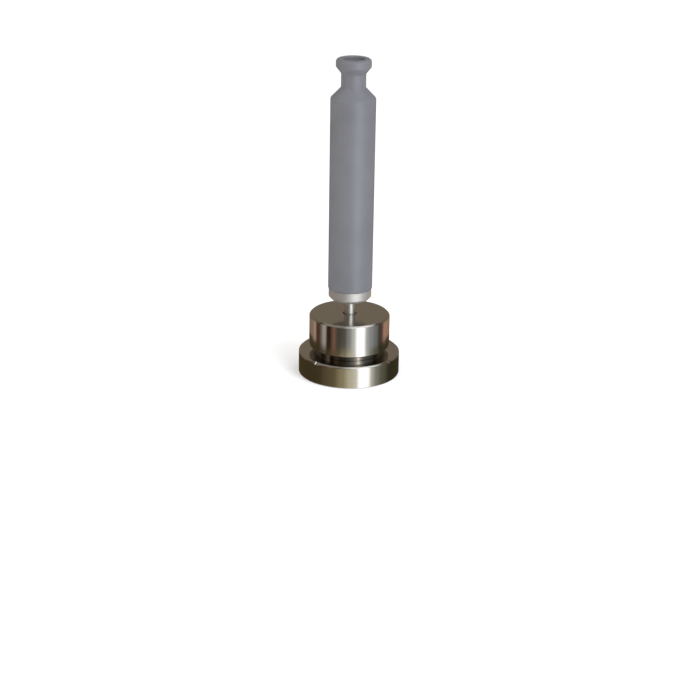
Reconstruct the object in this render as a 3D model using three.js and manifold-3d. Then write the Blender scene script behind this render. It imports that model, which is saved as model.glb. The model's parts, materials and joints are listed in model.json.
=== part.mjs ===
// Jar lifter that holds a steel jar lid by magnet and lets go when its handle is pressed down.
//
// The base stands on the lid: a steel ring holds a ring magnet, and a turned steel pot above it
// holds a spring. The handle is a grey moulded grip on a steel rod. The rod runs down through the
// pot and the magnet to a plastic foot. Pressing the handle pushes the foot out below the magnet,
// which lifts the magnet off the lid. The spring then brings the handle back up.
//
// Millimetres, +Z up. The origin is the middle of the base's underside, and every piece is
// coaxial with Z.
import * as THREE from "three";
import { mergeVertices } from "three/addons/utils/BufferGeometryUtils.js";
import Module from "manifold-3d";

const wasm = await Module();
wasm.setup();

// Driving dimensions. Heights are measured from the underside of the base.
const RING_R = 19.8;
const RING_TOP = 8.9;
const POT_R = 15.75;
const POT_BOTTOM = 11.3;
const POT_TOP = 24.1;
const NECK_R = 13.2;
const ROD_R = 2.15;
const FERRULE_R = 8.35;
const FERRULE_BOTTOM = 30.4;
const GRIP_R = 8.6;
const GRIP_BOTTOM = 34.8;
const SHOULDER = 109.5;
const GRIP_NECK_R = 4.7;
const GRIP_NECK_BOTTOM = 113.6;
const GRIP_NECK_TOP = 118.9;
const KNOB_R = 6.7;
const KNOB_BOTTOM = 121.6;
const TOP = 124.5;

// Allowances.
const SEAT = 0.05; // between pieces that are screwed, pressed or glued together
const RUN = 0.08; // round the rod, where it slides and turns

// Facets round a piece.
const WIDE = 40;
const SLIM = 20;

// Levels inside the base.
const PAD_TOP = 0.45;
const MAGNET_TOP = 4.4;
const POCKET_TOP = 6.2; // the ring is wide below this level and threaded above it
const POCKET_R = 16.2;
const THREAD_R = 12.9;
const SPIGOT_FLOOR = 7.8;
const SPIGOT_TOP = 21.1;
const SPIGOT_BORE_R = 3.3;
const SPRING_BORE_R = 7.2;
const SHELL_BORE_R = 14;
const CAVITY_TOP = 21.5;
const BUSH_TOP = 23.4;
const BUSH_R = 3.8;
const WIPER_R = 2.65;
const MAGNET_R = 14.6;
const MAGNET_BORE_R = 5;

// Levels on the rod.
const ROD_END = 2; // lower end, inside the foot
const SPRING_TOP = 19.8;
const CLIP_BOTTOM = 20.6;
const CLIP_TOP = 21.4;
const ROD_STEP = 31.4; // the ferrule rests on this shoulder
const ROD_UPPER_R = 1.9;
const ROD_TOP = 122.4;

// Levels inside the grip.
const TAIL_R = 6.2; // the ferrule's tail, which plugs into the grip
const TAIL_TOP = 44.6;
const SEAL_HEIGHT = 37.5;
const TUBE_R = 4.5;
const TUBE_TOP = 108.4;
const RECESS_R = 4.1;
const RECESS_FLOOR = 120.1;
const PLUG_BOTTOM = 122.6;

// A piece turned about Z. The profile lists [radius, height] points anticlockwise, with the axis
// on the left. It starts and ends on the axis, or closes on itself.
function turned(sides, profile) {
  const points = profile.map(([r, z]) => new THREE.Vector2(r, z));
  if (profile[0][0] > 0) points.push(points[0].clone());
  return new THREE.LatheGeometry(points, sides).rotateX(Math.PI / 2);
}

// A plain ring or washer.
function ring(sides, inner, outer, bottom, top) {
  return turned(sides, [
    [inner, bottom],
    [outer, bottom],
    [outer, top],
    [inner, top],
  ]);
}

// An O-ring of round section.
function oRing(sides, middle, section, height, steps) {
  const profile = [];
  for (let i = 0; i < steps; i++) {
    const a = (2 * Math.PI * i) / steps;
    profile.push([middle + section * Math.cos(a), height + section * Math.sin(a)]);
  }
  return turned(sides, profile);
}

// Points of a quarter circle in a profile, from one angle to another, in degrees.
function arc(r, z, radius, from, to, steps) {
  const points = [];
  for (let i = 0; i <= steps; i++) {
    const a = THREE.MathUtils.degToRad(from + ((to - from) * i) / steps);
    points.push([r + radius * Math.cos(a), z + radius * Math.sin(a)]);
  }
  return points;
}

function toSolid(geometry) {
  const bare = geometry.clone().deleteAttribute("normal").deleteAttribute("uv");
  const merged = mergeVertices(bare, 1e-4);
  return new wasm.Manifold(
    new wasm.Mesh({
      numProp: 3,
      vertProperties: merged.attributes.position.array,
      triVerts: new Uint32Array(merged.index.array),
    }),
  );
}

function cutFrom(geometry, tools) {
  let solid = toSolid(geometry);
  for (const tool of tools) solid = solid.subtract(toSolid(tool));
  const mesh = solid.getMesh();
  const result = new THREE.BufferGeometry();
  result.setAttribute("position", new THREE.BufferAttribute(mesh.vertProperties, 3));
  result.setIndex(new THREE.BufferAttribute(mesh.triVerts, 1));
  result.computeVertexNormals();
  return result;
}

// ---------------------------------------------------------------- base

// Outer steel ring: pocket for the magnet below, thread for the spigot above, and four sloping
// notches round the top edge for a spanner.
function baseRing() {
  const chamfer = 0.5;
  const blank = turned(WIDE, [
    [POCKET_R, 0],
    [RING_R - 0.3, 0],
    [RING_R, 0.3],
    [RING_R, RING_TOP - chamfer],
    [RING_R - chamfer, RING_TOP],
    [THREAD_R + SEAT, RING_TOP],
    [THREAD_R + SEAT, POCKET_TOP],
    [POCKET_R, POCKET_TOP],
  ]);
  const notchWidth = 1.5;
  const notchReach = 1; // inwards from the side, and down from the top
  const notchSide = notchReach * Math.SQRT2;
  const firstNotch = THREE.MathUtils.degToRad(231);
  const notches = [];
  for (let i = 0; i < 4; i++) {
    const notch = new THREE.BoxGeometry(notchSide, notchWidth, notchSide);
    notch.rotateY(Math.PI / 4);
    notch.translate(RING_R, 0, RING_TOP);
    notch.rotateZ(firstNotch + (i * Math.PI) / 2);
    notches.push(notch);
  }
  return cutFrom(blank, notches);
}

// Soft disc that lies on the lid, level with the underside of the ring.
function lidPad() {
  return ring(WIDE, MAGNET_BORE_R + 0.2, POCKET_R - SEAT, 0, PAD_TOP);
}

function magnet() {
  return ring(WIDE, MAGNET_BORE_R, MAGNET_R, PAD_TOP + SEAT, MAGNET_TOP);
}

// Brass ring that keeps the magnet's field off the steel wall beside it.
function spacerRing() {
  return ring(WIDE, MAGNET_R + SEAT, POCKET_R - SEAT, PAD_TOP + SEAT, MAGNET_TOP);
}

// Steel plate that closes the magnet's field at its back.
function keeperPlate() {
  return ring(WIDE, 3, POCKET_R - SEAT, MAGNET_TOP + SEAT, POCKET_TOP - 0.1);
}

// Blackened plug between ring and pot, which shows as the neck. It holds the spring and screws
// into both.
function spigot() {
  return turned(WIDE, [
    [SPIGOT_BORE_R, POCKET_TOP - SEAT],
    [THREAD_R, POCKET_TOP - SEAT],
    [THREAD_R, RING_TOP + SEAT],
    [NECK_R, RING_TOP + SEAT],
    [NECK_R, POT_BOTTOM],
    [SHELL_BORE_R - SEAT, POT_BOTTOM],
    [SHELL_BORE_R - SEAT, SPIGOT_TOP],
    [SPRING_BORE_R, SPIGOT_TOP],
    [SPRING_BORE_R, SPIGOT_FLOOR],
    [SPIGOT_BORE_R, SPIGOT_FLOOR],
  ]);
}

// Turned steel pot, open below, with a stepped hole in its top for the bush and the wiper.
function potShell() {
  const chamfer = 0.7;
  return turned(WIDE, [
    [SHELL_BORE_R, POT_BOTTOM],
    [POT_R - 0.3, POT_BOTTOM],
    [POT_R, POT_BOTTOM + 0.3],
    [POT_R, POT_TOP - chamfer],
    [POT_R - chamfer, POT_TOP],
    [WIPER_R + SEAT, POT_TOP],
    [WIPER_R + SEAT, BUSH_TOP + SEAT],
    [BUSH_R, BUSH_TOP + SEAT],
    [BUSH_R, CAVITY_TOP],
    [SHELL_BORE_R, CAVITY_TOP],
  ]);
}

// Bronze bush that guides the rod in the top of the pot.
function upperBush() {
  return ring(SLIM, ROD_R + RUN, BUSH_R - SEAT, CAVITY_TOP + SEAT, BUSH_TOP);
}

// Flanged bronze bush that guides the rod in the floor of the spigot.
function lowerBush() {
  return turned(SLIM, [
    [ROD_R + RUN, POCKET_TOP],
    [SPIGOT_BORE_R - SEAT, POCKET_TOP],
    [SPIGOT_BORE_R - SEAT, SPIGOT_FLOOR + SEAT],
    [4.2, SPIGOT_FLOOR + SEAT],
    [4.2, SPIGOT_FLOOR + 0.6],
    [ROD_R + RUN, SPIGOT_FLOOR + 0.6],
  ]);
}

// Rubber lip that wipes the rod where it enters the pot.
function rodWiper() {
  return ring(SLIM, ROD_R + SEAT, WIPER_R, BUSH_TOP + SEAT, POT_TOP - 0.1);
}

// Steel washer under the spring.
function springSeat() {
  return ring(SLIM, 4.4, 7.1, SPIGOT_FLOOR + SEAT, SPIGOT_FLOOR + 0.5);
}

// Compression spring, from the seat up to the thrust washer.
function returnSpring() {
  const wireR = 0.4;
  const coilR = 5.7;
  const turns = 4.5;
  const bottom = SPIGOT_FLOOR + 0.5 + wireR + SEAT;
  const top = SPRING_TOP - wireR;
  class Helix extends THREE.Curve {
    getPoint(t, target = new THREE.Vector3()) {
      const a = 2 * Math.PI * turns * t;
      const z = bottom + (top - bottom) * t;
      return target.set(coilR * Math.cos(a), coilR * Math.sin(a), z);
    }
  }
  const section = new THREE.Shape().absarc(0, 0, wireR, 0, 2 * Math.PI);
  return new THREE.ExtrudeGeometry(section, {
    extrudePath: new Helix(),
    steps: Math.round(16 * turns),
    curveSegments: 3,
  });
}

// ---------------------------------------------------------------- slide

// Washer between spring and rod. It slides with the handle, and lets the handle turn.
function thrustWasher() {
  return ring(SLIM, ROD_R + 0.15, 6.4, SPRING_TOP + SEAT, CLIP_BOTTOM);
}

// ---------------------------------------------------------------- handle

// Polished rod: a blind screw hole in its lower end, a groove for the clip, and a step that
// carries the ferrule.
function plungerRod() {
  return turned(SLIM, [
    [0, 6],
    [1.05, 6],
    [1.05, ROD_END],
    [ROD_R, ROD_END],
    [ROD_R, CLIP_BOTTOM],
    [1.65, CLIP_BOTTOM],
    [1.65, CLIP_TOP],
    [ROD_R, CLIP_TOP],
    [ROD_R, ROD_STEP],
    [ROD_UPPER_R, ROD_STEP],
    [ROD_UPPER_R, ROD_TOP],
    [0, ROD_TOP],
  ]);
}

// Open clip in the rod's groove. It stops the rod under the top of the pot and takes the pull.
function retainingClip() {
  const inner = 1.7;
  const outer = 4.6;
  const mouth = THREE.MathUtils.degToRad(38);
  const shape = new THREE.Shape();
  shape.absarc(0, 0, outer, mouth, 2 * Math.PI - mouth);
  shape.absarc(0, 0, inner, 2 * Math.PI - mouth, mouth, true);
  const plate = new THREE.ExtrudeGeometry(shape, {
    depth: CLIP_TOP - CLIP_BOTTOM - 2 * SEAT,
    bevelEnabled: false,
    curveSegments: 12,
  });
  return plate.translate(0, 0, CLIP_BOTTOM + SEAT);
}

// White foot on the rod's end, with a socket for the rod and a countersink for its screw.
function pushFoot() {
  return turned(SLIM, [
    [2.1, 0.9],
    [4.3, 0.9],
    [4.7, 1.3],
    [4.7, 3.6],
    [ROD_R + SEAT, 3.6],
    [ROD_R + SEAT, ROD_END - 0.02],
    [1.1, ROD_END - 0.02],
    [1.1, 1.85],
  ]);
}

function footScrew() {
  const head = 0.95;
  const blank = turned(SLIM, [
    [0, head],
    [1.95, head],
    [1, 1.88],
    [1, 5.6],
    [0, 5.6],
  ]);
  const slot = new THREE.BoxGeometry(4.4, 0.5, 0.8);
  slot.translate(0, 0, head);
  return cutFrom(blank, [slot]);
}

// Aluminium collar below the grip, with a tail that plugs into the grip and a groove for its seal.
function ferrule() {
  const chamfer = 1.1;
  return turned(WIDE, [
    [ROD_R + SEAT, FERRULE_BOTTOM],
    [FERRULE_R - chamfer, FERRULE_BOTTOM],
    [FERRULE_R, FERRULE_BOTTOM + chamfer],
    [FERRULE_R, GRIP_BOTTOM],
    [TAIL_R, GRIP_BOTTOM],
    [TAIL_R, SEAL_HEIGHT - 0.7],
    [TAIL_R - 0.85, SEAL_HEIGHT - 0.7],
    [TAIL_R - 0.85, SEAL_HEIGHT + 0.7],
    [TAIL_R, SEAL_HEIGHT + 0.7],
    [TAIL_R, TAIL_TOP],
    [ROD_UPPER_R + SEAT, TAIL_TOP],
    [ROD_UPPER_R + SEAT, ROD_STEP + SEAT],
    [ROD_R + SEAT, ROD_STEP + SEAT],
  ]);
}

function ferruleSeal() {
  return oRing(SLIM, TAIL_R - 0.38, 0.4, SEAL_HEIGHT, 8);
}

// Aluminium tube that stiffens the grip.
function coreTube() {
  return ring(SLIM, ROD_UPPER_R + 0.1, TUBE_R, TAIL_TOP + 0.1, TUBE_TOP);
}

// Grey moulded grip: straight body, sloping shoulder, neck and flared knob, and a recess in the
// knob for the nut.
function grip() {
  const soft = 0.9; // rounding of the shoulder's edge
  const rim = 1.2; // rounding of the knob's top edge
  return turned(WIDE, [
    [TAIL_R + SEAT, GRIP_BOTTOM + SEAT],
    [GRIP_R - 0.3, GRIP_BOTTOM + SEAT],
    [GRIP_R, GRIP_BOTTOM + 0.35],
    ...arc(GRIP_R - soft, SHOULDER - 0.3, soft, 0, 47, 3),
    [GRIP_NECK_R + 0.45, GRIP_NECK_BOTTOM - 0.45],
    [GRIP_NECK_R + 0.1, GRIP_NECK_BOTTOM],
    [GRIP_NECK_R, GRIP_NECK_BOTTOM + 0.6],
    [GRIP_NECK_R, GRIP_NECK_TOP],
    [KNOB_R - 0.15, KNOB_BOTTOM - 0.3],
    [KNOB_R, KNOB_BOTTOM],
    ...arc(KNOB_R - rim, TOP - rim, rim, 0, 90, 3),
    [RECESS_R + 0.35, TOP - 0.15],
    [RECESS_R, TOP - 0.6],
    [RECESS_R, RECESS_FLOOR],
    [ROD_UPPER_R + 0.1, RECESS_FLOOR],
    [ROD_UPPER_R + 0.1, TUBE_TOP + 0.1],
    [TUBE_R + 0.1, TUBE_TOP + 0.1],
    [TUBE_R + 0.1, TAIL_TOP + 0.1],
    [TAIL_R + SEAT, TAIL_TOP + 0.1],
  ]);
}

function topWasher() {
  return ring(SLIM, ROD_UPPER_R + 0.1, 3.7, RECESS_FLOOR + SEAT, RECESS_FLOOR + 0.65);
}

// Round nut on the rod's upper end, slotted for a driver. It clamps the grip to the ferrule.
function slottedNut() {
  const bottom = RECESS_FLOOR + 0.7;
  const top = bottom + 1.7;
  const blank = ring(SLIM, ROD_UPPER_R + SEAT, 3.5, bottom, top);
  const slot = new THREE.BoxGeometry(8, 0.9, 1.4);
  slot.translate(0, 0, top);
  return cutFrom(blank, [slot]);
}

// Dished plug over the nut.
function endPlug() {
  return turned(SLIM, [
    [0, PLUG_BOTTOM],
    [RECESS_R - SEAT, PLUG_BOTTOM],
    [RECESS_R - SEAT, PLUG_BOTTOM + 0.9],
    [RECESS_R - 0.5, PLUG_BOTTOM + 0.9],
    [RECESS_R - 1.5, PLUG_BOTTOM + 0.55],
    [0, PLUG_BOTTOM + 0.45],
  ]);
}

// ---------------------------------------------------------------- assembly

function finish(color, roughness, metalness) {
  return new THREE.MeshStandardMaterial({ color, roughness, metalness });
}

const turnedSteel = finish(0xb9b6b0, 0.22, 1);
const polishedSteel = finish(0xcfcfcf, 0.12, 1);
const plainSteel = finish(0x9c9c9a, 0.4, 1);
const blackSteel = finish(0x3a3836, 0.3, 1);
const nickel = finish(0xb8b3a4, 0.3, 1);
const brass = finish(0xb99a55, 0.35, 1);
const bronze = finish(0xa67c4e, 0.4, 1);
const aluminium = finish(0xc6c8ca, 0.35, 1);
const satinAluminium = finish(0xd4d3d0, 0.45, 1);
const greyPolymer = finish(0x6f7077, 0.5, 0);
const darkPolymer = finish(0x55565a, 0.55, 0);
const acetal = finish(0xe8e6df, 0.45, 0);
const rubber = finish(0x191919, 0.6, 0);
const silicone = finish(0xb5b4af, 0.6, 0);

const lifter = new THREE.Group();
const base = new THREE.Group();
const slide = new THREE.Group();
const handle = new THREE.Group();
lifter.add(base, slide, handle);

function place(group, name, geometry, material) {
  const mesh = new THREE.Mesh(geometry, material);
  mesh.name = name;
  group.add(mesh);
}

place(base, "base_ring", baseRing(), turnedSteel);
place(base, "lid_pad", lidPad(), silicone);
place(base, "magnet", magnet(), nickel);
place(base, "spacer_ring", spacerRing(), brass);
place(base, "keeper_plate", keeperPlate(), plainSteel);
place(base, "spigot", spigot(), blackSteel);
place(base, "pot_shell", potShell(), turnedSteel);
place(base, "upper_bush", upperBush(), bronze);
place(base, "lower_bush", lowerBush(), bronze);
place(base, "rod_wiper", rodWiper(), rubber);
place(base, "spring_seat", springSeat(), plainSteel);
place(base, "return_spring", returnSpring(), plainSteel);

place(slide, "thrust_washer", thrustWasher(), plainSteel);

place(handle, "plunger_rod", plungerRod(), polishedSteel);
place(handle, "retaining_clip", retainingClip(), plainSteel);
place(handle, "push_foot", pushFoot(), acetal);
place(handle, "foot_screw", footScrew(), plainSteel);
place(handle, "ferrule", ferrule(), satinAluminium);
place(handle, "ferrule_seal", ferruleSeal(), rubber);
place(handle, "core_tube", coreTube(), aluminium);
place(handle, "grip", grip(), greyPolymer);
place(handle, "top_washer", topWasher(), plainSteel);
place(handle, "slotted_nut", slottedNut(), plainSteel);
place(handle, "end_plug", endPlug(), darkPolymer);

export default lifter;
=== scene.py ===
"""Jar lifter: a magnetic base that stands on a steel lid, and a sprung handle that pushes it off.

Every piece is turned about Z, so most are made by one lathe function from a short outline in
millimetres. Places and outer sizes come from the frame. Inner sizes are the named values below.
"""
import json
import math

import bmesh
import bpy
from mathutils import Matrix, Vector


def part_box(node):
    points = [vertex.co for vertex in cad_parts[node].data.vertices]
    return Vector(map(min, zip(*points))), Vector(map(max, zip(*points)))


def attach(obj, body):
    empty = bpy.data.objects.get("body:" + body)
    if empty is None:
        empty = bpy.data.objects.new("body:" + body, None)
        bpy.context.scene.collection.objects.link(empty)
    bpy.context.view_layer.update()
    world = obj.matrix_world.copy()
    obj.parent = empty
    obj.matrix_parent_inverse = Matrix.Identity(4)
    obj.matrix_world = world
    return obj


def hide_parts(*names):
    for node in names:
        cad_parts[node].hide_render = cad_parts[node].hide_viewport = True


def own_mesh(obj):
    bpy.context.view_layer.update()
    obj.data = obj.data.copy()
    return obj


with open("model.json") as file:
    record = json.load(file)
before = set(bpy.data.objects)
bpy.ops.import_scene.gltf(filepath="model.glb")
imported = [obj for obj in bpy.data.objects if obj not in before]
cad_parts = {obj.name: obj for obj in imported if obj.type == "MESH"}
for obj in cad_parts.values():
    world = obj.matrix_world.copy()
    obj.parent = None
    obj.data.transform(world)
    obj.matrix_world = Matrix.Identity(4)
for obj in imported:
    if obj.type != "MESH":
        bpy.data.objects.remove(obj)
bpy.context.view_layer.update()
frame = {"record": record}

MM = 0.001

# Inner sizes in millimetres.
SEAT = 0.05  # between pieces that are screwed, pressed or glued together
RUN = 0.08  # round the rod, where it slides and turns
LOOSE = 0.1  # inside the grip, where nothing is held
EDGE = 0.06  # edges are broken by this radius unless an outline says otherwise
ROD_R = 2.15
ROD_UPPER_R = 1.9
ROD_STEP = 31.4
THREAD_R = 12.9
NECK_R = 13.2
SHELL_BORE_R = 14
BUSH_R = 3.8
WIPER_R = 2.65
SPRING_BORE_R = 7.2
SPIGOT_BORE_R = 3.3
TUBE_R = 4.5
TAIL_R = 6.2
RECESS_R = 4.1

WIDE = 160  # facets round the outer pieces
SLIM = 96  # facets round the inner ones


def span(name):
    """Outer radius, lower height and upper height of a CAD node, in millimetres."""
    low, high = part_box(name)
    return high.x / MM, low.z / MM, high.z / MM


# ------------------------------------------------------------------ shapes


def rounded(corners, closed=True):
    """An outline with its corners rounded. A corner is (radius, height) or (radius, height, rounding)."""
    most = 0.48  # share of a side that one rounding may use up
    points = []
    count = len(corners)
    for i, corner in enumerate(corners):
        here = Vector(corner[:2])
        rounding = corner[2] if len(corner) > 2 else EDGE
        on_axis = not closed and i in (0, count - 1)
        if rounding == 0 or on_axis:
            points.append(here)
            continue
        back = Vector(corners[i - 1][:2]) - here
        ahead = Vector(corners[(i + 1) % count][:2]) - here
        half = back.angle(ahead) / 2
        reach = min(rounding / math.tan(half), most * back.length, most * ahead.length)
        middle = (back.normalized() + ahead.normalized()).normalized() * (reach / math.cos(half))
        first = back.normalized() * reach - middle
        turn = math.pi - 2 * half
        if back.x * ahead.y - back.y * ahead.x > 0:
            turn = -turn
        fine = math.radians(20 if rounding < 0.5 else 8)
        steps = max(2, math.ceil(abs(turn) / fine))
        for step in range(steps + 1):
            points.append(here + middle + Matrix.Rotation(turn * step / steps, 2) @ first)
    return [tuple(point) for point in points]


def even_turn(sides):
    """Angles of a full turn, in degrees."""
    return [360 * i / sides for i in range(sides)]


def spin(name, stations, closed):
    """A body swept round Z through stations of (angle in degrees, outline), all with as many points."""
    shape = bmesh.new()
    rings = []
    for degrees, outline in stations:
        angle = math.radians(degrees)
        ring = []
        for index, (radius, height) in enumerate(outline):
            if radius < 1e-6 and rings:
                ring.append(rings[0][index])
            else:
                place = Vector((radius * math.cos(angle), radius * math.sin(angle), height))
                ring.append(shape.verts.new(place * MM))
        rings.append(ring)
    count = len(rings[0])
    for i, ring in enumerate(rings):
        after = rings[(i + 1) % len(rings)]
        for j in range(count if closed else count - 1):
            k = (j + 1) % count
            corners = dict.fromkeys((ring[j], after[j], after[k], ring[k]))
            shape.faces.new(corners)
    bmesh.ops.remove_doubles(shape, verts=shape.verts, dist=1e-8)
    return to_object(name, shape)


def to_object(name, shape):
    """Turns a bmesh into a smooth-shaded object whose flats stay flat."""
    bmesh.ops.recalc_face_normals(shape, faces=shape.faces)
    mesh = bpy.data.meshes.new(name)
    shape.to_mesh(mesh)
    shape.free()
    mesh.shade_smooth()
    made = bpy.data.objects.new(name, mesh)
    bpy.context.scene.collection.objects.link(made)
    keep_flats(made)
    return made


def keep_flats(piece):
    """Shades flats flat and rounded edges smooth."""
    piece.data.set_sharp_from_angle(angle=math.radians(35))
    weighted = piece.modifiers.new("flats", "WEIGHTED_NORMAL")
    weighted.keep_sharp = True


def turned(name, corners, sides=SLIM):
    """A lathe-turned piece from the corners of its outline, listed anticlockwise."""
    closed = corners[0][0] > 0
    outline = rounded(corners, closed)
    return spin(name, [(degrees, outline) for degrees in even_turn(sides)], closed)


def washer(name, inner, outer, bottom, top, sides=SLIM, edge=EDGE):
    """A plain ring."""
    corners = [(inner, bottom), (outer, bottom), (outer, top), (inner, top)]
    return turned(name, [(*corner, edge) for corner in corners], sides)


def o_ring(name, middle_r, middle_z, section_r, sides=SLIM):
    """A moulded ring of round section."""
    outline = [
        (middle_r + section_r * math.cos(math.radians(a)), middle_z + section_r * math.sin(math.radians(a)))
        for a in even_turn(24)
    ]
    return spin(name, [(degrees, outline) for degrees in even_turn(sides)], True)


def cut_by(piece, cutter):
    """Cuts one piece with another and removes the cutter."""
    cut = piece.modifiers.new("cut", "BOOLEAN")
    cut.operation = "DIFFERENCE"
    cut.solver = "EXACT"
    cut.object = cutter
    piece.modifiers.move(len(piece.modifiers) - 1, 0)
    bpy.context.view_layer.update()
    evaluated = piece.evaluated_get(bpy.context.evaluated_depsgraph_get())
    mesh = bpy.data.meshes.new_from_object(evaluated)
    piece.modifiers.clear()
    piece.data = mesh
    bpy.data.objects.remove(cutter)
    keep_flats(piece)
    return piece


def block(size, middle):
    """A square-edged cutter, in millimetres."""
    shape = bmesh.new()
    bmesh.ops.create_cube(shape, size=1)
    bmesh.ops.scale(shape, vec=Vector(size) * MM, verts=shape.verts)
    bmesh.ops.translate(shape, vec=Vector(middle) * MM, verts=shape.verts)
    return to_object("cutter", shape)


def extruded(name, outline, bottom, top, edge):
    """A flat plate from an outline of (x, y) points in millimetres, with its edges broken."""
    shape = bmesh.new()
    face = shape.faces.new([shape.verts.new(Vector((x, y, bottom)) * MM) for x, y in outline])
    raised = bmesh.ops.extrude_face_region(shape, geom=[face])
    lifted = [item for item in raised["geom"] if isinstance(item, bmesh.types.BMVert)]
    bmesh.ops.translate(shape, vec=(0, 0, (top - bottom) * MM), verts=lifted)
    rims = [e for e in shape.edges if abs(e.verts[0].co.z - e.verts[1].co.z) < 1e-7]
    bmesh.ops.bevel(shape, geom=rims, offset=edge * MM, segments=2, affect="EDGES", profile=0.5)
    return to_object(name, shape)


# ------------------------------------------------------------------ finishes


def linear(code):
    """A hex colour such as "#7A7B80" as linear RGBA."""
    shades = [int(code[i:i + 2], 16) / 255 for i in (1, 3, 5)]
    return (*(s / 12.92 if s <= 0.04045 else ((s + 0.055) / 1.055) ** 2.4 for s in shades), 1)


def start(name):
    """A new material, with its empty node tree."""
    made = bpy.data.materials.new(name)
    made.use_nodes = True
    made.node_tree.nodes.clear()
    return made, made.node_tree


def node(tree, kind, inputs=None, **settings):
    """Adds a node. settings are its properties. inputs are its sockets: each a value or another socket."""
    made = tree.nodes.new("ShaderNode" + kind)
    for name, value in settings.items():
        setattr(made, name, value)
    for name, value in (inputs or {}).items():
        if isinstance(value, bpy.types.NodeSocket):
            tree.links.new(value, made.inputs[name])
        else:
            made.inputs[name].default_value = value
    return made


def per_mm(size):
    """The noise scale at which one patch is about this many millimetres across."""
    return 1 / (size * MM)


def lathe_marks(tree, spacing):
    """Height of the rings that a cutting tool leaves: it changes along the outline, not round it."""
    place = node(tree, "TexCoord").outputs["Object"]
    parts = node(tree, "SeparateXYZ", {"Vector": place}).outputs
    flat = node(tree, "CombineXYZ", {"X": parts["X"], "Y": parts["Y"]}).outputs[0]
    radius = node(tree, "VectorMath", {0: flat}, operation="LENGTH").outputs["Value"]
    along = node(tree, "Math", {0: radius, 1: parts["Z"]}, operation="ADD").outputs[0]
    noise = {"W": along, "Scale": per_mm(spacing), "Detail": 3.0, "Roughness": 0.6}
    return node(tree, "TexNoise", noise, noise_dimensions="1D").outputs["Fac"]


def cut_metal(name, pale, dark, spacing, depth, roughness, streak=0.0):
    """Bare metal cut on a lathe, with tool marks this far apart and this deep, in millimetres.

    Handling mottles its roughness between two values, and streak pulls reflections out across
    the marks.
    """
    made, tree = start(name)
    marks = lathe_marks(tree, spacing)
    place = node(tree, "TexCoord").outputs["Object"]
    handling = node(tree, "TexNoise", {"Vector": place, "Scale": per_mm(4)}).outputs["Fac"]
    spread = {"Value": handling, "From Min": 0.3, "From Max": 0.7}
    spread.update({"To Min": roughness[0], "To Max": roughness[1]})
    colours = {0: marks, 6: linear(dark), 7: linear(pale)}
    shader = node(tree, "BsdfPrincipled", {
        "Metallic": 1.0,
        "Base Color": node(tree, "Mix", colours, data_type="RGBA").outputs[2],
        "Roughness": node(tree, "MapRange", spread).outputs["Result"],
        "Normal": node(tree, "Bump", {"Height": marks, "Distance": depth * MM}).outputs["Normal"],
        "Tangent": node(tree, "Tangent", direction_type="RADIAL", axis="Z").outputs["Tangent"],
        "Anisotropic": streak,
        "Anisotropic Rotation": 0.25,
    })
    node(tree, "OutputMaterial", {"Surface": shader.outputs["BSDF"]})
    return made


def grained(name, pale, dark, patch, grain, depth, roughness, sockets):
    """A surface with an even grain this many millimetres across and deep, and a wider mottle of colour.

    sockets holds what is the same all over: the metallic value or the IOR.
    """
    made, tree = start(name)
    place = node(tree, "TexCoord").outputs["Object"]
    mottle = node(tree, "TexNoise", {"Vector": place, "Scale": per_mm(patch)}).outputs["Fac"]
    grit = node(tree, "TexNoise", {"Vector": place, "Scale": per_mm(grain), "Detail": 3.0}).outputs["Fac"]
    tint = node(tree, "MapRange", {"Value": mottle, "From Min": 0.3, "From Max": 0.6}).outputs["Result"]
    spread = {"Value": grit, "From Min": 0.3, "From Max": 0.7}
    spread.update({"To Min": roughness[0], "To Max": roughness[1]})
    colours = {0: tint, 6: linear(dark), 7: linear(pale)}
    shader = node(tree, "BsdfPrincipled", {
        "Base Color": node(tree, "Mix", colours, data_type="RGBA").outputs[2],
        "Roughness": node(tree, "MapRange", spread).outputs["Result"],
        "Normal": node(tree, "Bump", {"Height": grit, "Distance": depth * MM}).outputs["Normal"],
        **sockets,
    })
    node(tree, "OutputMaterial", {"Surface": shader.outputs["BSDF"]})
    return made


def turned_stainless():
    """Stainless steel, turned and then polished as it spins.

    Fine rings pull every reflection up and down into clean bars. The feed is really 0.1 mm and is
    drawn at 0.4.
    """
    return cut_metal(
        "turned stainless steel", "#CECDCA", "#BEBCB7",
        spacing=0.4, depth=0.0012, roughness=(0.08, 0.14), streak=0.7,
    )


def ground_stainless():
    """Stainless rod, ground between wheels and buffed: softer reflections than the pot, and paler."""
    return cut_metal(
        "ground stainless steel", "#ECEBE9", "#DFDEDB",
        spacing=0.25, depth=0.0015, roughness=(0.45, 0.53), streak=0.3,
    )


def zinc_steel():
    """Zinc-plated steel washers, clip and screws: a greyish, slightly cloudy shine."""
    return cut_metal(
        "zinc plated steel", "#ACAEAF", "#959798",
        spacing=0.3, depth=0.002, roughness=(0.3, 0.42),
    )


def turned_brass():
    """Free-cutting brass, turned and left bright, with rings that catch the light."""
    return cut_metal(
        "turned brass", "#CBAA61", "#B3904A",
        spacing=0.3, depth=0.003, roughness=(0.22, 0.34),
    )


def drawn_aluminium():
    """Aluminium tube, drawn: pale and rather dull."""
    return cut_metal(
        "drawn aluminium", "#C8CACC", "#B7B9BB",
        spacing=0.5, depth=0.003, roughness=(0.28, 0.4),
    )


def satin_aluminium():
    """Aluminium, turned, blasted with fine beads and clear anodised.

    Broad soft highlights, with a milky paleness between them that the clear layer scatters. The
    0.1 mm grain is drawn at 0.3.
    """
    return grained(
        "satin anodised aluminium", "#D0CFCC", "#C6C5C2",
        patch=5, grain=0.3, depth=0.004, roughness=(0.54, 0.62), sockets={"Metallic": 0.85},
    )


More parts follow.
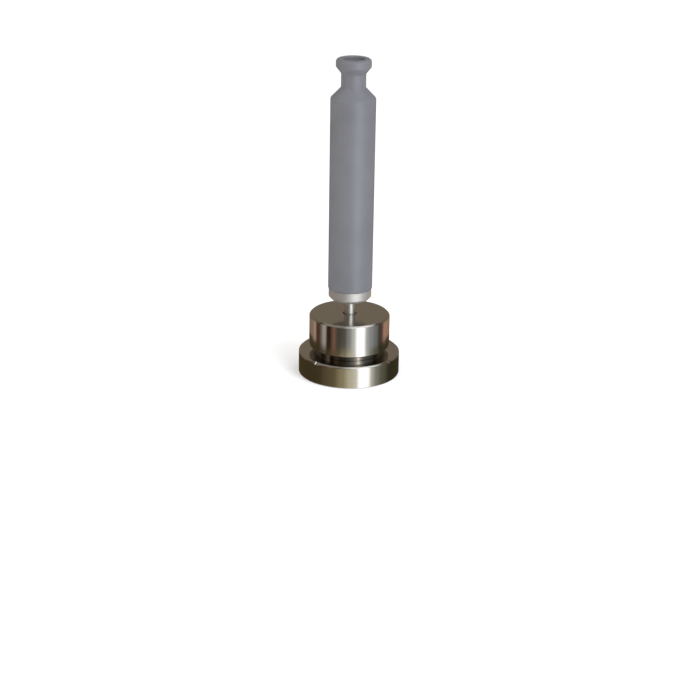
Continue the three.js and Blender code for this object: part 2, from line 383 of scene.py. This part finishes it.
def groove_shade_steel():
    """Turned steel with a darker base colour than the pot's: painted shade for the groove between ring and
    pot.

    It mirrors like the steel beside it but darker, so it looks black where the groove is in shade.
    """
    return grained(
        "steel darkened for groove shade", "#86827D", "#767269",
        patch=3, grain=0.3, depth=0.0006, roughness=(0.08, 0.13), sockets={"Metallic": 1.0},
    )


def nickel_plate():
    """Nickel plate over a sintered magnet: a faint grain under a yellowish shine."""
    return grained(
        "nickel plate", "#C9C4B4", "#BDB7A6",
        patch=5, grain=0.3, depth=0.004, roughness=(0.2, 0.34), sockets={"Metallic": 1.0},
    )


def sintered_bronze():
    """Oil-filled sintered bronze: dull brown, peppered with dark pores of 0.1 mm, drawn at 0.25."""
    return grained(
        "sintered bronze", "#A98253", "#5C452C",
        patch=0.25, grain=0.25, depth=0.02, roughness=(0.55, 0.38), sockets={"Metallic": 1.0},
    )


def grey_nylon():
    """Grey nylon, moulded in a spark-eroded mould.

    A fine satin grit that breaks the highlight into a soft stripe. The 0.15 mm grit is drawn at 0.3.
    """
    return grained(
        "grey moulded nylon", "#6E6F74", "#68696E",
        patch=14, grain=0.3, depth=0.01, roughness=(0.42, 0.52), sockets={"IOR": 1.53},
    )


def recess_shade_nylon():
    """Same nylon, rougher so the plug looks flatter than the knob; its darker grey is partly painted recess
    shade.
    """
    return grained(
        "nylon darkened for recess shade", "#5E5F63", "#56575A",
        patch=8, grain=0.3, depth=0.012, roughness=(0.46, 0.56), sockets={"IOR": 1.53},
    )


def white_acetal():
    """Turned acetal: a waxy, slightly warm white."""
    return grained(
        "turned acetal", "#E9E7E0", "#E0DED6",
        patch=6, grain=0.4, depth=0.006, roughness=(0.32, 0.42), sockets={"IOR": 1.48},
    )


def nitrile_rubber():
    """Moulded nitrile rubber: black under a dull grey bloom."""
    return grained(
        "moulded nitrile rubber", "#26262A", "#1B1B1D",
        patch=4, grain=0.5, depth=0.01, roughness=(0.38, 0.55), sockets={"IOR": 1.52},
    )


def silicone_rubber():
    """Food-grade silicone sheet: pale grey, soft and dull."""
    return grained(
        "silicone sheet", "#B9B8B3", "#AEADA8",
        patch=8, grain=0.6, depth=0.012, roughness=(0.5, 0.62), sockets={"IOR": 1.41},
    )


# ------------------------------------------------------------------ base pieces


def make_base_ring():
    """Outer ring, with four small sloping spanner notches round its top edge."""
    outer, bottom, top = span("base_ring")
    chamfer = 0.5
    reach = 1  # how far a notch runs inwards from the side, and down from the top
    notch_half = math.degrees(0.75 / outer)
    wall = 0.12  # degrees in which a notch's end wall drops
    clear = notch_half + wall
    first_notch = 231
    pocket_r = span("lid_pad")[0] + SEAT
    pocket_top = span("keeper_plate")[2] + 0.1
    plain = rounded([
        (pocket_r, bottom, 0.12),
        (outer - 0.3, bottom, 0.15),
        (outer, bottom + 0.3, 0.15),
        (outer, top - reach, 0),
        (outer, top - chamfer, 0.25),
        (outer - chamfer, top, 0.25),
        (outer - reach, top, 0),
        (THREAD_R + SEAT, top, 0.2),
        (THREAD_R + SEAT, pocket_top),
        (pocket_r, pocket_top),
    ])
    slope = outer + top - reach
    cut = [(min(r, slope - z), z) if z > top - reach else (r, z) for r, z in plain]
    stations = [(degrees, plain) for degrees in even_turn(192)]
    for i in range(4):
        middle = first_notch + 90 * i
        stations = [s for s in stations if abs((s[0] - middle + 180) % 360 - 180) > clear + 0.2]
        stations += [((middle + side * clear) % 360, plain) for side in (-1, 1)]
        stations += [((middle + notch_half * step / 2) % 360, cut) for step in range(-2, 3)]
    return spin("ring", sorted(stations), True)


def make_lid_pad():
    """Thin soft ring that touches the lid, flush with the base ring."""
    outer, bottom, top = span("lid_pad")
    return washer("pad", span("push_foot")[0] + 0.5, outer, bottom, top, WIDE, 0.1)


def make_magnet():
    """Ring magnet, with the foot passing through it."""
    outer, bottom, top = span("magnet")
    return washer("magnet_disc", span("push_foot")[0] + 0.3, outer, bottom, top, WIDE, 0.25)


def make_spacer_ring():
    """Brass ring that keeps the magnet clear of the steel round it."""
    outer, bottom, top = span("spacer_ring")
    return washer("spacer", span("magnet")[0] + SEAT, outer, bottom, top, WIDE, 0.1)


def make_keeper_plate():
    """Steel plate behind the magnet."""
    bore_r = 3
    outer, bottom, top = span("keeper_plate")
    return washer("keeper", bore_r, outer, bottom, top, WIDE, 0.15)


def make_spigot():
    """Plug that joins ring and pot, and shows as the neck between them. The spring stands in it."""
    outer, bottom, top = span("spigot")
    ring_top = span("base_ring")[2] + SEAT
    pot_bottom = span("pot_shell")[1]
    floor = span("spring_seat")[1] - SEAT
    return turned("threaded_spigot", [
        (SPIGOT_BORE_R, bottom),
        (THREAD_R, bottom, 0.3),
        (THREAD_R, ring_top, 0),
        (NECK_R, ring_top, 0.1),
        (NECK_R, pot_bottom, 0.1),
        (outer, pot_bottom, 0.05),
        (outer, top, 0.3),
        (SPRING_BORE_R, top, 0.3),
        (SPRING_BORE_R, floor, 0.2),
        (SPIGOT_BORE_R, floor),
    ], WIDE)


def make_pot_shell():
    """Deep cap over the spigot, with a chamfered rim."""
    outer, bottom, top = span("pot_shell")
    bush_top = span("upper_bush")[2] + SEAT
    bush_bottom = span("upper_bush")[1] - SEAT
    chamfer = 0.7
    return turned("pot", [
        (SHELL_BORE_R, bottom, 0.15),
        (outer - 0.3, bottom, 0.12),
        (outer, bottom + 0.3, 0.12),
        (outer, top - chamfer, 0.3),
        (outer - chamfer, top, 0.3),
        (WIPER_R + SEAT, top, 0.12),
        (WIPER_R + SEAT, bush_top, 0.03),
        (BUSH_R, bush_top, 0.1),
        (BUSH_R, bush_bottom, 0.1),
        (SHELL_BORE_R, bush_bottom, 0.3),
    ], 192)


def make_upper_bush():
    """Plain bush in the pot's top."""
    outer, bottom, top = span("upper_bush")
    return washer("guide_bush", ROD_R + RUN, outer, bottom, top, SLIM, 0.2)


def make_lower_bush():
    """Bush in the spigot, whose flange lies under the spring seat."""
    outer, bottom, top = span("lower_bush")
    flange = span("spring_seat")[1]
    return turned("flanged_bush", [
        (ROD_R + RUN, bottom, 0.15),
        (SPIGOT_BORE_R - SEAT, bottom, 0.15),
        (SPIGOT_BORE_R - SEAT, flange, 0.03),
        (outer, flange, 0.05),
        (outer, top, 0.1),
        (ROD_R + RUN, top, 0.15),
    ])


def make_rod_wiper():
    """Rubber ring round the rod's foot, sunk just below the pot's top."""
    outer, bottom, top = span("rod_wiper")
    return washer("wiper", ROD_R + SEAT, outer, bottom, top, SLIM, 0.1)


def make_spring_seat():
    """Washer under the spring."""
    bore_r = 4.4
    outer, bottom, top = span("spring_seat")
    return washer("seat_washer", bore_r, outer, bottom, top, SLIM, 0.1)


def make_return_spring():
    """Coil spring with closed ends: the first and last turns lie flat."""
    outer, bottom, top = span("return_spring")
    wire_r = 0.4
    coil_r = outer - wire_r
    turns = 5.5
    closed_turns = 0.8
    steps_per_turn = 40
    wire_sides = 12
    steps = int(turns * steps_per_turn)
    closed_rise = 2 * wire_r * closed_turns
    low = bottom + wire_r
    rise = top - wire_r - low
    middle_pitch = (rise - 2 * closed_rise) / (turns - 2 * closed_turns)

    def height(turn):
        if turn < closed_turns:
            return low + 2 * wire_r * turn
        if turn > turns - closed_turns:
            return low + rise - 2 * wire_r * (turns - turn)
        return low + closed_rise + middle_pitch * (turn - closed_turns)

    shape = bmesh.new()
    rings = []
    for step in range(steps + 1):
        turn = step / steps_per_turn
        angle = 2 * math.pi * turn
        ring = []
        for side in range(wire_sides):
            around = 2 * math.pi * side / wire_sides
            radius = coil_r + wire_r * math.cos(around)
            level = height(turn) + wire_r * math.sin(around)
            place = Vector((radius * math.cos(angle), radius * math.sin(angle), level))
            ring.append(shape.verts.new(place * MM))
        rings.append(ring)
    for before, after in zip(rings, rings[1:]):
        for side in range(wire_sides):
            beside = (side + 1) % wire_sides
            shape.faces.new((before[side], after[side], after[beside], before[beside]))
    shape.faces.new(rings[0])
    shape.faces.new(reversed(rings[-1]))
    return to_object("coil_spring", shape)


# ------------------------------------------------------------------ sliding and turning pieces


def make_thrust_washer():
    """Washer between the spring and the clip."""
    outer, bottom, top = span("thrust_washer")
    return washer("spring_washer", ROD_R + 0.15, outer, bottom, top, SLIM, 0.12)


def make_plunger_rod():
    """Rod with a groove for the clip, a step for the ferrule and a screw hole in its lower end."""
    outer, bottom, top = span("plunger_rod")
    hole_r = 1.05
    hole_top = 6
    groove_r = 1.65
    groove_bottom = span("retaining_clip")[1] - SEAT
    groove_top = span("retaining_clip")[2] + SEAT
    return turned("rod", [
        (0, hole_top),
        (hole_r, hole_top),
        (hole_r, bottom),
        (outer, bottom, 0.2),
        (outer, groove_bottom, 0.04),
        (groove_r, groove_bottom, 0.04),
        (groove_r, groove_top, 0.04),
        (outer, groove_top, 0.04),
        (outer, ROD_STEP, 0.1),
        (ROD_UPPER_R, ROD_STEP, 0.05),
        (ROD_UPPER_R, top, 0.3),
        (0, top),
    ])


def make_retaining_clip():
    """E-clip: three short fingers hold the rod's groove, and the mouth slides on from the side."""
    bottom, top = span("retaining_clip")[1:]
    outer = 4.6
    finger_r = 1.7
    relief_r = 2.6
    mouth = 38  # degrees from the mouth's middle to each of its sides
    finger_half = 24
    turns = [mouth + (360 - 2 * mouth) * i / 120 for i in range(121)]

    def inner_radius(degrees):
        off_finger = min(abs(degrees - 180), abs(degrees - mouth), abs(360 - mouth - degrees))
        return finger_r if off_finger < finger_half else relief_r

    outline = [(outer * math.cos(math.radians(a)), outer * math.sin(math.radians(a))) for a in turns]
    for a in reversed(turns):
        radius = inner_radius(a)
        outline.append((radius * math.cos(math.radians(a)), radius * math.sin(math.radians(a))))
    return extruded("e_clip", outline, bottom, top, 0.06)


def make_push_foot():
    """White foot, with a socket for the rod above and a countersink for the screw below."""
    outer, bottom, top = span("push_foot")
    socket_floor = span("plunger_rod")[1] - 0.02
    countersink_r = 2.1
    countersink_depth = 0.95
    hole_r = 1.1
    return turned("foot", [
        (countersink_r, bottom, 0.05),
        (outer - 0.4, bottom, 0.3),
        (outer, bottom + 0.4, 0.3),
        (outer, top, 0.3),
        (ROD_R + SEAT, top, 0.15),
        (ROD_R + SEAT, socket_floor),
        (hole_r, socket_floor),
        (hole_r, bottom + countersink_depth, 0.02),
    ])


def make_foot_screw():
    """Countersunk screw with a straight slot."""
    outer, bottom, top = span("foot_screw")
    shank_r = 1
    head = 0.93
    slot_width = 0.5
    slot_depth = 0.4
    screw = turned("countersunk_screw", [
        (0, bottom),
        (outer, bottom, 0.08),
        (shank_r, bottom + head, 0.05),
        (shank_r, top, 0.2),
        (0, top),
    ])
    return cut_by(screw, block((5, slot_width, 2 * slot_depth), (0, 0, bottom)))


def make_ferrule():
    """Collar under the grip, with a tail inside it that carries the seal."""
    outer, bottom, top = span("ferrule")
    grip_bottom = span("grip")[1] - SEAT
    seal_bottom, seal_top = span("ferrule_seal")[1:]
    chamfer = 1.1
    groove_depth = 0.85
    groove_room = 0.3
    return turned("collar", [
        (ROD_R + SEAT, bottom, 0.15),
        (outer - chamfer, bottom, 0.15),
        (outer, bottom + chamfer, 0.2),
        (outer, grip_bottom, 0.12),
        (TAIL_R, grip_bottom, 0.05),
        (TAIL_R, seal_bottom - groove_room),
        (TAIL_R - groove_depth, seal_bottom - groove_room),
        (TAIL_R - groove_depth, seal_top + groove_room),
        (TAIL_R, seal_top + groove_room),
        (TAIL_R, top, 0.3),
        (ROD_UPPER_R + SEAT, top),
        (ROD_UPPER_R + SEAT, ROD_STEP + SEAT),
        (ROD_R + SEAT, ROD_STEP + SEAT),
    ], WIDE)


def make_ferrule_seal():
    """O-ring between the ferrule's tail and the grip."""
    outer, bottom, top = span("ferrule_seal")
    section = (top - bottom) / 2
    return o_ring("collar_seal", outer - section, (bottom + top) / 2, section)


def make_core_tube():
    """Tube that stiffens the grip, round the rod's upper part."""
    outer, bottom, top = span("core_tube")
    return washer("stiffening_tube", ROD_UPPER_R + LOOSE, outer, bottom, top, SLIM, 0.15)


def make_grip():
    """Moulded grip: long body, sloping shoulder, neck, and a flared knob with a dished end."""
    outer, bottom, top = span("grip")
    shoulder = 109.65
    neck_r = 4.7
    neck_bottom = 113.7
    neck_top = 118.95
    knob_r = 6.7
    knob_bottom = 121.5
    recess_floor = span("top_washer")[1] - SEAT
    tail_top = span("ferrule")[2] + LOOSE
    tube_top = span("core_tube")[2] + LOOSE
    return turned("handle_grip", [
        (TAIL_R + SEAT, bottom, 0.2),
        (outer, bottom, 0.3),
        (outer, shoulder, 1.1),
        (neck_r, neck_bottom, 0.9),
        (neck_r, neck_top, 0.9),
        (knob_r, knob_bottom, 0.7),
        (knob_r, top, 1.3),
        (RECESS_R, top, 0.5),
        (RECESS_R, recess_floor, 0.2),
        (ROD_UPPER_R + LOOSE, recess_floor, 0.1),
        (ROD_UPPER_R + LOOSE, tube_top),
        (TUBE_R + LOOSE, tube_top),
        (TUBE_R + LOOSE, tail_top),
        (TAIL_R + SEAT, tail_top),
    ], WIDE)


def make_top_washer():
    """Washer under the nut, on the floor of the knob's recess."""
    outer, bottom, top = span("top_washer")
    return washer("nut_washer", ROD_UPPER_R + LOOSE, outer, bottom, top, SLIM, 0.1)


def make_slotted_nut():
    """Round nut with a slot across its top."""
    outer, bottom, top = span("slotted_nut")
    slot_width = 0.9
    slot_depth = 0.7
    nut = washer("round_nut", ROD_UPPER_R + SEAT, outer, bottom, top, SLIM, 0.2)
    return cut_by(nut, block((9, slot_width, 2 * slot_depth), (0, 0, top)))


def make_end_plug():
    """Push-in plug, dished so that a fingertip fits."""
    outer, bottom, top = span("end_plug")
    rim = 0.45
    dish = 0.45
    return turned("knob_plug", [
        (0, bottom),
        (outer, bottom, 0.1),
        (outer, top, 0.15),
        (outer - rim, top, 0.15),
        (outer - 1.45, top - 0.35, 0.8),
        (0, top - dish),
    ])


# ------------------------------------------------------------------ assembly

STEEL = turned_stainless()
PLAIN = zinc_steel()
BRONZE = sintered_bronze()
RUBBER = nitrile_rubber()

PIECES = [
    ("base_ring", make_base_ring, STEEL),
    ("lid_pad", make_lid_pad, silicone_rubber()),
    ("magnet", make_magnet, nickel_plate()),
    ("spacer_ring", make_spacer_ring, turned_brass()),
    ("keeper_plate", make_keeper_plate, PLAIN),
    # The spigot's darker steel is painted shade for the groove between ring and pot.
    ("spigot", make_spigot, groove_shade_steel()),
    ("pot_shell", make_pot_shell, STEEL),
    ("upper_bush", make_upper_bush, BRONZE),
    ("lower_bush", make_lower_bush, BRONZE),
    ("rod_wiper", make_rod_wiper, RUBBER),
    ("spring_seat", make_spring_seat, PLAIN),
    ("return_spring", make_return_spring, PLAIN),
    ("thrust_washer", make_thrust_washer, PLAIN),
    ("plunger_rod", make_plunger_rod, ground_stainless()),
    ("retaining_clip", make_retaining_clip, PLAIN),
    ("push_foot", make_push_foot, white_acetal()),
    ("foot_screw", make_foot_screw, PLAIN),
    ("ferrule", make_ferrule, satin_aluminium()),
    ("ferrule_seal", make_ferrule_seal, RUBBER),
    ("core_tube", make_core_tube, drawn_aluminium()),
    ("grip", make_grip, grey_nylon()),
    ("top_washer", make_top_washer, PLAIN),
    ("slotted_nut", make_slotted_nut, PLAIN),
    # The plug's darker grey is partly painted shade for the knob's recess.
    ("end_plug", make_end_plug, recess_shade_nylon()),
]

bodies = frame["record"]["behaviour"]["bodies"]
body_of = {member: body for body, members in bodies.items() for member in members}

made = {}
for cad_node, make, finish in PIECES:
    piece = make()
    piece.data.materials.clear()
    piece.data.materials.append(finish)
    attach(piece, body_of[cad_node])
    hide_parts(cad_node)
    made[cad_node] = piece

# The spring shortens by the handle's whole travel.
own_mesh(made["return_spring"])

# ------------------------------------------------------------------ studio


def direction(azimuth, elevation, distance):
    """A place round the object. Azimuth 0 is the camera's side, and it grows to the camera's right."""
    a, e = math.radians(azimuth), math.radians(elevation)
    return Vector((math.sin(a) * math.cos(e), -math.cos(a) * math.cos(e), math.sin(e))) * distance


def soft_light(name, azimuth, elevation, distance, size, power, tint):
    """A square softbox aimed at the tool. It only lights: the painted cards are what steel reflects."""
    lamp = bpy.data.lights.new(name, "AREA")
    lamp.shape = "SQUARE"
    lamp.size = size
    lamp.energy = power
    lamp.color = linear(tint)[:3]
    made = bpy.data.objects.new(name, lamp)
    bpy.context.scene.collection.objects.link(made)
    middle = Vector((0, 0, 0.06))
    made.location = middle + direction(azimuth, elevation, distance)
    made.rotation_euler = (middle - made.location).to_track_quat("-Z", "Y").to_euler()
    made.visible_camera = False
    made.visible_glossy = False


def surround(name, rows, shades):
    """Painted card all round, for the steel to reflect.

    rows lists its (distance, height) in metres, from the bottom up. The paint runs smoothly from
    each of the shades to the next. Only reflections see the card: it is hidden from the camera and
    throws no shadow.
    """
    made, tree = start(name)
    paint = node(tree, "VertexColor", layer_name="paint")
    light = node(tree, "Emission", {"Color": paint.outputs["Color"]})
    node(tree, "OutputMaterial", {"Surface": light.outputs["Emission"]})
    shape = bmesh.new()
    layer = shape.verts.layers.float_color.new("paint")
    columns = []
    for degrees in range(-180, 180, 2):
        before = max((s for s in shades if s[0] <= degrees), key=lambda s: s[0])
        after = min((s for s in shades if s[0] > degrees), key=lambda s: s[0])
        share = (degrees - before[0]) / (after[0] - before[0])
        share = share * share * (3 - 2 * share)
        column = []
        for row, (distance, height) in enumerate(rows):
            side = 1 if row < len(rows) / 2 else 2
            vert = shape.verts.new(direction(degrees, 0, distance) + Vector((0, 0, height)))
            vert[layer] = Vector(before[side]).lerp(Vector(after[side]), share)
            column.append(vert)
        columns.append(column)
    for i, column in enumerate(columns):
        after = columns[(i + 1) % len(columns)]
        for row in range(len(rows) - 1):
            shape.faces.new((column[row], after[row], after[row + 1], column[row + 1]))
    mesh = bpy.data.meshes.new(name)
    shape.to_mesh(mesh)
    shape.free()
    mesh.materials.append(made)
    card = bpy.data.objects.new(name, mesh)
    bpy.context.scene.collection.objects.link(card)
    card.visible_camera = False
    card.visible_diffuse = False
    card.visible_shadow = False


def lit(code, strength=1.0):
    """A hex colour as linear RGBA at this brightness."""
    return tuple(value * strength for value in linear(code)[:3]) + (1,)


def shade(azimuth, lower, upper=None):
    """Paint at an azimuth in degrees, for the lower and the upper rows of a card."""
    return azimuth, lower, upper or lower


def make_floor():
    """Pale floor, large enough to run past every view, with a faint paper mottle."""
    paper = grained(
        "pale paper", "#FEFEFE", "#FCFCFC",
        patch=60, grain=1, depth=0.002, roughness=(0.85, 0.95), sockets={"Specular IOR Level": 0.1},
    )
    shape = bmesh.new()
    bmesh.ops.create_grid(shape, x_segments=2, y_segments=2, size=6)
    mesh = bpy.data.meshes.new("floor")
    shape.to_mesh(mesh)
    shape.free()
    mesh.materials.append(paper)
    floor = bpy.data.objects.new("floor", mesh)
    bpy.context.scene.collection.objects.link(floor)
    floor.visible_glossy = False


def make_world():
    """White room."""
    world = bpy.data.worlds.new("white room")
    bpy.context.scene.world = world
    world.use_nodes = True
    tree = world.node_tree
    tree.nodes.clear()
    room = node(tree, "Background", {"Color": linear("#FFFFFF"), "Strength": 1.0})
    node(tree, "OutputWorld", {"Surface": room.outputs["Background"]})


# What stands round the tool. The pot's side shows the lower rows, and flat tops show the upper ones.
BACK = lit("#837868")
KEY = lit("#FFFFFF", 2.0)
CORE = lit("#FFFFFF", 5.0)
ROOM = [
    shade(-180, lit("#75624C"), BACK),
    shade(-134, lit("#9A8070"), BACK),
    shade(-114, lit("#C0A494"), BACK),
    shade(-106, lit("#5E4234")),
    shade(-96, lit("#5E4432")),
    shade(-86, lit("#8C7C70")),
    shade(-80, lit("#BEB6B0")),
    shade(-72, lit("#BEB4AE")),
    shade(-66, lit("#3C2C20")),
    shade(-57, lit("#3A2A1E")),
    shade(-50, lit("#745646")),
    shade(-44, lit("#906E5C")),
    shade(-37, lit("#6A5A4E")),
    shade(-31, lit("#545048")),
    shade(-14, lit("#626058")),
    shade(0, lit("#A0A09C")),
    shade(13, lit("#E2E2E0")),
    shade(26, KEY),
    shade(31, CORE),
    shade(35, CORE),
    shade(40, KEY),
    shade(52, lit("#CCCED0")),
    shade(64, lit("#A8AAAC")),
    shade(84, lit("#868882")),
    shade(96, lit("#524C48")),
    shade(106, lit("#645048")),
    shade(120, lit("#C49886"), BACK),
    shade(146, lit("#B08C66"), BACK),
    shade(180, lit("#75624C"), BACK),
]

# Overhead, for the chamfers.
CEILING = lit("#9C968C")
OVERHEAD = [
    shade(-180, CEILING),
    shade(-30, CEILING),
    shade(-5, lit("#E8E8E8"), lit("#C8C8C4")),
    shade(15, lit("#FFFFFF", 1.4), lit("#F0F0F0")),
    shade(70, lit("#FFFFFF", 1.4), lit("#F0F0F0")),
    shade(110, CEILING),
    shade(180, CEILING),
]

# Low and close round the base, for what its own side shows. The floor is not in reflections.
OLIVE = lit("#4A3F28")
BELOW = [
    shade(-180, OLIVE),
    shade(-66, OLIVE),
    shade(-56, lit("#544830")),
    shade(-48, lit("#665640")),
    shade(-30, lit("#72664A")),
    shade(-12, lit("#A89C78")),
    shade(4, lit("#E0D8BC")),
    shade(14, lit("#F2EEDE")),
    shade(22, KEY),
    shade(36, KEY),
    shade(47, lit("#D2D0C4")),
    shade(56, lit("#98968A")),
    shade(70, lit("#6C6A58")),
    shade(92, lit("#3E3A2A")),
    shade(180, OLIVE),
]


def make_surround():
    """The three cards: walls, ceiling and the low ring."""
    surround("walls", [(1.5, -1.6), (1.5, -0.1), (1.5, 0.1), (1.5, 1.5)], ROOM)
    surround("ceiling", [(1.5, 1.5), (1.2, 2.2), (0.8, 2.6), (0.02, 2.8)], OVERHEAD)
    surround("below", [(0.06, -0.03), (0.06, -0.02), (0.06, -0.012), (0.06, -0.004)], BELOW)


def make_camera():
    """A long lens that looks a little down, rolled so that the tool leans slightly to the right."""
    down = 21.5
    lens = bpy.data.cameras.new("camera")
    lens.sensor_width = 36
    lens.lens = 88.3
    lens.clip_start = 0.01
    camera = bpy.data.objects.new("camera", lens)
    bpy.context.scene.collection.objects.link(camera)
    camera.location = (0.0004, -0.631, 0.257)
    pitch = math.radians(90 - down)
    roll = math.radians(1.0)
    camera.rotation_mode = "XYZ"
    camera.rotation_euler = (Matrix.Rotation(pitch, 3, "X") @ Matrix.Rotation(roll, 3, "Z")).to_euler()
    bpy.context.scene.camera = camera


make_floor()
make_world()
make_surround()
soft_light("key", azimuth=45, elevation=38, distance=0.7, size=0.35, power=2.6, tint="#ECF1FF")
soft_light("fill", azimuth=-60, elevation=25, distance=0.8, size=0.5, power=0.8, tint="#FFF3E4")
make_camera()
bpy.context.scene.view_settings.view_transform = "Standard"
